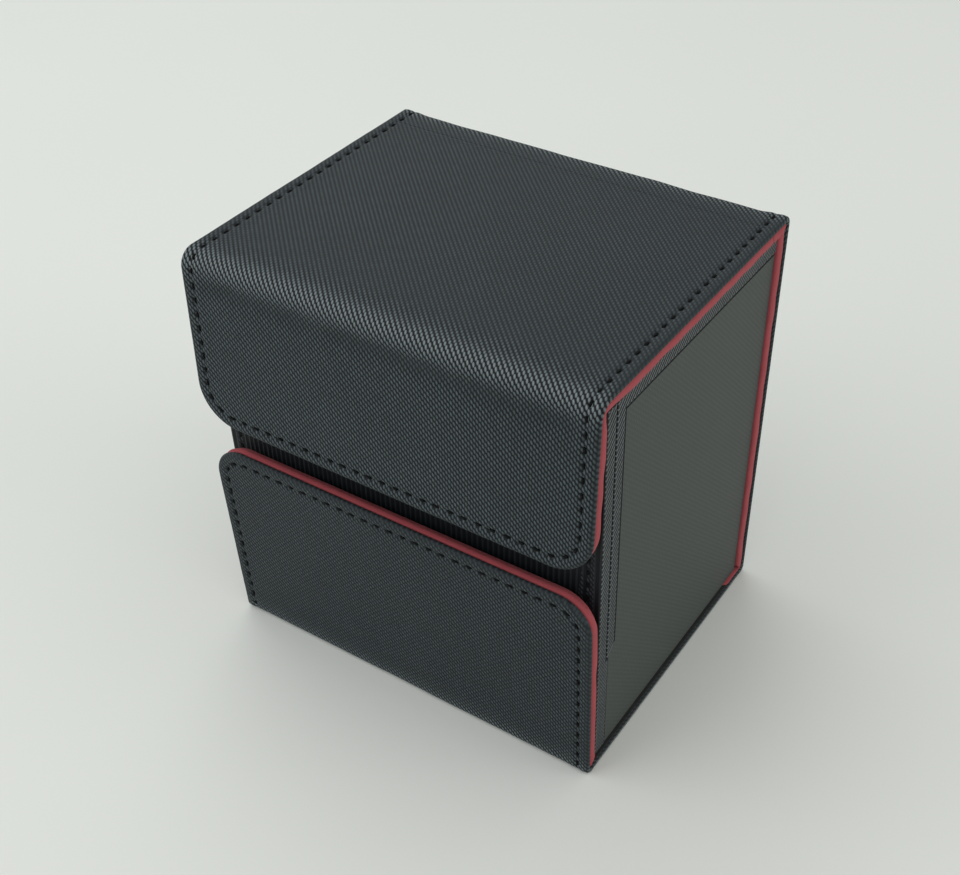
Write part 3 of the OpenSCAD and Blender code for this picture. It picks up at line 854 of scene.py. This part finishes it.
def magnet_finish():
    """Bright nickel plating with fine scratches and duller patches."""
    f = Finish("nickel_plating")
    scratches = f.solid_noise(3000.0)
    patches = f.solid_noise(300.0, 3.0)
    colour = f.mix(patches, (0.50, 0.49, 0.46, 1), (0.68, 0.67, 0.65, 1))
    return f.finish(Base_Color=colour, Roughness=f.spread(patches, 0.22, 0.40), Metallic=1.0,
                    Normal=f.bump(scratches, 0.01))


# ---------------------------------------------------------------- inner box


def dress(names, material):
    """Gives CAD nodes a finish, and rounds their sharp edges a little."""
    for name in names:
        obj = frame["nodes"][name]
        obj.data.materials.clear()
        obj.data.materials.append(material)
        bevel = obj.modifiers.new("soft_edges", "BEVEL")
        bevel.width = 0.1 * MM
        bevel.segments = 2
        bevel.limit_method = "ANGLE"


def nodes_of(slot):
    """The CAD nodes that are made of one material."""
    return [part["node"] for part in frame["record"]["subparts"] if part["material_slot"] == slot]


def add_boards_and_magnets():
    """Finishes for the boards, of which four are black, and for the magnets."""
    black = ["bottom_board", "left_wall_board", "right_wall_board", "rear_wall_board"]
    black_finish = board_finish("black_board", (0.010, 0.011, 0.011, 1), (0.030, 0.032, 0.031, 1), 0.02)
    dress([name for name in nodes_of("board") if name not in black], board_finish())
    dress(black, black_finish)
    dress(nodes_of("magnet"), magnet_finish())


def outline(points, jagged, step=0.3, tooth=1.5, bite=0.32):
    """A closed outline through points, with lines no longer than step. The sides listed in jagged
    have small teeth, as leather does where its embossed weave has been cut. Points run
    anticlockwise, so the teeth point outwards."""
    points = np.array(points, float)
    rng = np.random.default_rng(11)
    made = []
    for k, (a, b) in enumerate(zip(points, np.roll(points, -1, axis=0))):
        length = np.hypot(*(b - a))
        t = np.linspace(0, 1, max(1, math.ceil(length / step)) + 1)[:-1]
        line = a + (b - a) * t[:, None]
        if k in jagged:
            outward = np.array([(b - a)[1], -(b - a)[0]]) / length
            ends = np.clip(np.minimum(t, 1 - t) * length / 0.6, 0, 1)
            teeth = np.abs((t * length / tooth) % 1 - 0.5) * 2
            line = line + outward * ((teeth * bite + rng.uniform(0, 0.08, len(t))) * ends)[:, None]
        made.append(line)
    return np.concatenate(made)


def facing(name, points, low, high, material, place, nodes=(), rounding=0.32):
    """A piece of leather on the inner box, from low out to high, with a rounded outer edge that is
    lightened by a painted highlight. place(points, height) puts its outline in space."""
    before, after = np.roll(points, 3, axis=0), np.roll(points, -3, axis=0)
    tangent = after - before
    tangent /= np.hypot(*tangent.T)[:, None]
    inward = np.stack([-tangent[:, 1], tangent[:, 0]], -1)
    steps = [(0.0, low, 0.0)]
    steps += [(rounding * (1 - np.cos(a)), high - rounding * (1 - np.sin(a)), np.sin(a))
              for a in np.linspace(0, np.pi / 2, 5)]
    steps.append((rounding + 0.25, high, 0.0))
    all_points = np.concatenate([place(points + inward * inset, height) for inset, height, _ in steps])
    uv = np.tile(points, (len(steps), 1))
    rim = np.repeat([r for _, _, r in steps], len(points))
    n, count = len(points), len(steps)
    faces = [[r * n + k, r * n + (k + 1) % n, (r + 1) * n + (k + 1) % n, (r + 1) * n + k]
             for r in range(count - 1) for k in range(n)]
    faces += [list(range(n))[::-1], list(range((count - 1) * n, count * n))]
    obj = make_object(name, all_points, faces, uv, material,
                      flat=[len(faces) - 2, len(faces) - 1], attributes={"rim": rim})
    if nodes:
        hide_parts(*nodes)
    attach(obj, "case")


STEP_WIDTH = 3.0              # of the binding's step, and its height as well
TEETH_ROOM = 0.5              # the binding stands back this far for the teeth of its cut edge
WRAP_INSET = 0.2
DARK_LINE = 0.35              # half the open line between the binding and the front's wrap
BINDING_LIFT = 0.25           # the binding and the wrap stand this far out of the CAD's side


def add_facings(binding_material, top_material):
    """The bindings, and the front wall's leather where it wraps on to the sides."""
    (inside_x, wall_y, step_z), (side_x, back_y, top_z) = corners("right_edge_binding")
    (board_x, skin_y, low_z), (_, _, skin_z) = corners("right_wall_skin")
    front_y, tab_y = corners("front_wall_skin")[0][1], corners("front_wall_skin")[1][1]
    gap, near_y, low_z = skin_y - tab_y, tab_y - WRAP_INSET, low_z + WRAP_INSET
    far_y, far_z = tab_y + STEP_WIDTH - TEETH_ROOM, skin_z + gap + TEETH_ROOM
    start_y, end_y = wall_y + DARK_LINE, wall_y - DARK_LINE
    binding = outline([(start_y, step_z), (near_y, step_z), (far_y, step_z + STEP_WIDTH), (far_y, far_z),
                       (back_y, far_z), (back_y, top_z), (start_y, top_z)], jagged=(1, 2, 3))
    front_y += WRAP_INSET
    wrap = outline([(front_y, low_z), (near_y, low_z), (near_y, step_z - gap),
                    (end_y, step_z - gap), (end_y, top_z), (front_y, top_z)], jagged=(1,))
    out_x, over_x = side_x + BINDING_LIFT, side_x - 0.1
    over = outline([(inside_x, wall_y), (over_x, wall_y), (over_x, back_y), (inside_x, back_y)], ())
    for side, word in ((1, "right"), (-1, "left")):
        def on_side(points, height, side=side):
            return np.column_stack([np.full(len(points), side * height), points])

        def on_top(points, height, side=side):
            return np.column_stack([side * points[:, 0], points[:, 1], np.full(len(points), height)])

        node = word + "_edge_binding"
        facing(word + "_binding_side", binding, board_x, out_x, binding_material, on_side, [node])
        facing(word + "_binding_top", over, top_z - 0.8, top_z, top_material, on_top, [node])
        facing(word + "_front_wrap", wrap, board_x, out_x, binding_material, on_side)


def front_face():
    """(half width, y, lowest z, highest z) of the front wall's visible face."""
    (_, y, low), (half_width, _, high) = corners("front_wall_skin")
    return half_width - 0.1, y + 0.05, low + 0.2, high - 0.1


def front_grid(half_width, low, high, rounding):
    """(x, z) of the front face's grid, fine round its edges and over its seams."""
    rim = rim_lines(rounding)
    lines = np.concatenate([rim, spaced(rounding, SEAM_ZONE, 0.3), spaced(SEAM_ZONE, half_width, 3.0)])
    middle = spaced(low + rounding, high - rounding, 0.5)
    z_lines = np.concatenate([low + rim, middle, (high - rim[:-1])[::-1]])
    return np.meshgrid(mirrored(lines, half_width), z_lines, indexing="ij")


def add_front_facing(material):
    """The front wall's visible face, with a pressed seam down each end."""
    half_width, y, low, high = front_face()
    rounding, sunk_rim = 0.4, 0.2
    x, z = front_grid(half_width, low, high, rounding)
    side_edge, along = half_width - np.abs(x), z - (low + high) / 2
    edge = np.minimum(side_edge, np.minimum(z - low, high - z))
    profile = np.sqrt(1 - np.clip(1 - edge / rounding, 0, 1) ** 2)
    seamed = edge > SEAM_INSET - 1.5
    relief = seam_relief(side_edge, along) * seamed + 0.04 * ripple(x, z, 25, 4)
    depth = y + sunk_rim * (1 - profile) - relief * profile * 0.5
    # Painted shade in the hollows under the front's stitches
    pit_shade = seam_pit_shade(side_edge, along) * seamed
    index = np.arange(x.size).reshape(x.shape)
    quads = [index[:-1, :-1], index[1:, :-1], index[1:, 1:], index[:-1, 1:]]
    faces = np.stack(quads, -1).reshape(-1, 4).tolist()
    back = [index[:, 0], index[-1, 1:], index[-2::-1, -1], index[0, -2:0:-1]]
    faces.append(np.concatenate(back).tolist())
    points = np.stack([x, depth, z], -1).reshape(-1, 3)
    obj = make_object("front_wall_facing", points, faces, points[:, [0, 2]], material, [len(faces) - 1],
                      {"pit_shade": pit_shade.ravel()})
    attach(obj, "case")


def add_front_threads(material):
    """The stitches of the front face's two seams."""
    half_width, y, low, high = front_face()
    count = math.floor((high - low - 3) / 2 / STITCH_PITCH)
    centres = np.arange(-count, count + 1) * STITCH_PITCH

    def seam(side):
        def place(along, lift):
            zero = np.zeros(len(along))
            x = zero + side * (half_width - SEAM_INSET)
            return (np.column_stack([x, y - lift, along + (low + high) / 2]),
                    np.column_stack([zero, zero - 1, zero]))
        return place

    obj = stitch_rows("front_wall_threads", centres, [seam(1), seam(-1)], material,
                      ["front_wall_stitching"])
    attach(obj, "case")


def add_inner_box(thread):
    """The inner box's leather, bindings, front seams and lining."""
    # The sides' leather is lighter and greyer than the cover's: partly its own colour, and partly a painted sheen
    # of the bright surroundings at the right.
    side = leather_finish("side_leather", axes=(1, 2), lean=-1, strength=0.35,
                          gap=(0.052, 0.060, 0.056), top=(0.086, 0.099, 0.092))
    binding = leather_finish("binding_leather", axes=(2, 1), strength=1.2, cell=LONG_CELL,
                             gap=(0.002, 0.003, 0.004), top=(0.20, 0.235, 0.245))
    turned = leather_finish("turned_leather", axes=(0, 1))
    # Painted shade: the front wall lies in shadow between the flaps, so its face gets darker, bluer colours and a
    # fainter weave, and its top edge under the lid an even darker copy of the leather.
    front = leather_finish("front_wall_painted_shade_leather", axes=(0, 2), lean=-1, strength=0.8,
                           gap=(0.004, 0.005, 0.008), top=(0.055, 0.066, 0.078))
    shaded = leather_finish("shaded_leather", axes=(0, 1), top=(0.020, 0.024, 0.028))
    dress(["left_wall_skin", "right_wall_skin"], side)
    dress(["front_wall_skin"], shaded)
    add_front_facing(front)
    add_front_threads(thread)
    dress(["inner_lining"], inner_lining_finish())
    add_facings(binding, turned)


# ---------------------------------------------------------------- stage, light and camera


def add_floor():
    f = Finish("pale_floor")
    colour = f.mix(f.solid_noise(4.0), (0.72, 0.735, 0.71, 1), (0.76, 0.77, 0.745, 1))
    material = f.finish(Base_Color=colour, Roughness=0.55, Specular_IOR_Level=0.25)
    size = 3.0                # half the floor's width, in metres
    mesh = bpy.data.meshes.new("floor")
    points = [(-size, -size, 0), (size, -size, 0), (size, size, 0), (-size, size, 0)]
    mesh.from_pydata(points, [], [(0, 1, 2, 3)])
    mesh.materials.append(material)
    floor = bpy.data.objects.new("floor", mesh)
    bpy.context.scene.collection.objects.link(floor)


def add_light(name, place, target, size, power, colour):
    """A rectangular area light at a place in metres, turned to the target."""
    data = bpy.data.lights.new(name, "AREA")
    data.shape = "RECTANGLE"
    data.size, data.size_y = size
    data.energy = power
    data.color = colour
    light = bpy.data.objects.new(name, data)
    light.location = place
    light.rotation_euler = (Vector(target) - Vector(place)).to_track_quat("-Z", "Y").to_euler()
    bpy.context.scene.collection.objects.link(light)


def add_lights():
    middle = (0, 0, HEIGHT / 2 * MM)
    add_light("window", (-0.75, 0.55, 1.15), middle, (1.3, 1.1), 5.0, (0.97, 1.0, 0.99))
    add_light("ceiling", (0.25, -0.35, 1.5), middle, (1.8, 1.8), 5.6, (1.0, 1.0, 0.97))
    add_light("side_fill", (1.3, 0.3, 0.55), middle, (0.9, 0.7), 3.4, (1.0, 0.99, 0.97))
    add_light("front_left", (-0.9, -0.9, 0.75), middle, (1.4, 1.0), 6.4, (0.98, 1.0, 1.0))
    world = bpy.data.worlds.new("room")
    world.use_nodes = True
    world.node_tree.nodes["Background"].inputs["Color"].default_value = (0.80, 0.82, 0.80, 1)
    world.node_tree.nodes["Background"].inputs["Strength"].default_value = 0.62
    bpy.context.scene.world = world
    bpy.context.scene.view_settings.view_transform = "Standard"


CAMERA_LENS = 50.887
CAMERA_SHIFT = (-0.0244, 0.0668)
CAMERA_AZIMUTH, CAMERA_ELEVATION, CAMERA_ROLL = (math.radians(a) for a in (34.24, 41.01, -1.37))
CAMERA_DISTANCE = 359.78      # to the level of CAMERA_HEIGHT above the box's base
CAMERA_HEIGHT = 55.0
CAMERA_OFFSET = (2.72, -16.02)


def add_camera():
    level, rise = math.cos(CAMERA_ELEVATION), math.sin(CAMERA_ELEVATION)
    back = Vector((math.sin(CAMERA_AZIMUTH) * level, -math.cos(CAMERA_AZIMUTH) * level, rise))
    right = Vector((math.cos(CAMERA_AZIMUTH), math.sin(CAMERA_AZIMUTH), 0))
    up = back.cross(right)
    place = back * CAMERA_DISTANCE + right * CAMERA_OFFSET[0] + up * CAMERA_OFFSET[1]
    place.z += CAMERA_HEIGHT
    turned_right = right * math.cos(CAMERA_ROLL) + up * math.sin(CAMERA_ROLL)
    turned_up = up * math.cos(CAMERA_ROLL) - right * math.sin(CAMERA_ROLL)
    data = bpy.data.cameras.new("camera")
    data.sensor_width = 36
    data.lens = CAMERA_LENS
    data.shift_x, data.shift_y = CAMERA_SHIFT
    data.clip_start, data.clip_end = 0.01, 20
    camera = bpy.data.objects.new("camera", data)
    turn = Matrix((turned_right, turned_up, back)).transposed().to_4x4()
    camera.matrix_world = Matrix.Translation(place * MM) @ turn
    bpy.context.scene.collection.objects.link(camera)
    bpy.context.scene.camera = camera


# ---------------------------------------------------------------- the scene

thread_material = thread_finish()
add_boards_and_magnets()
add_leather(leather_finish("woven_leather"))
add_lining(lining_finish())
add_stitching(thread_material)
add_inner_box(thread_material)
add_floor()
add_lights()
add_camera()
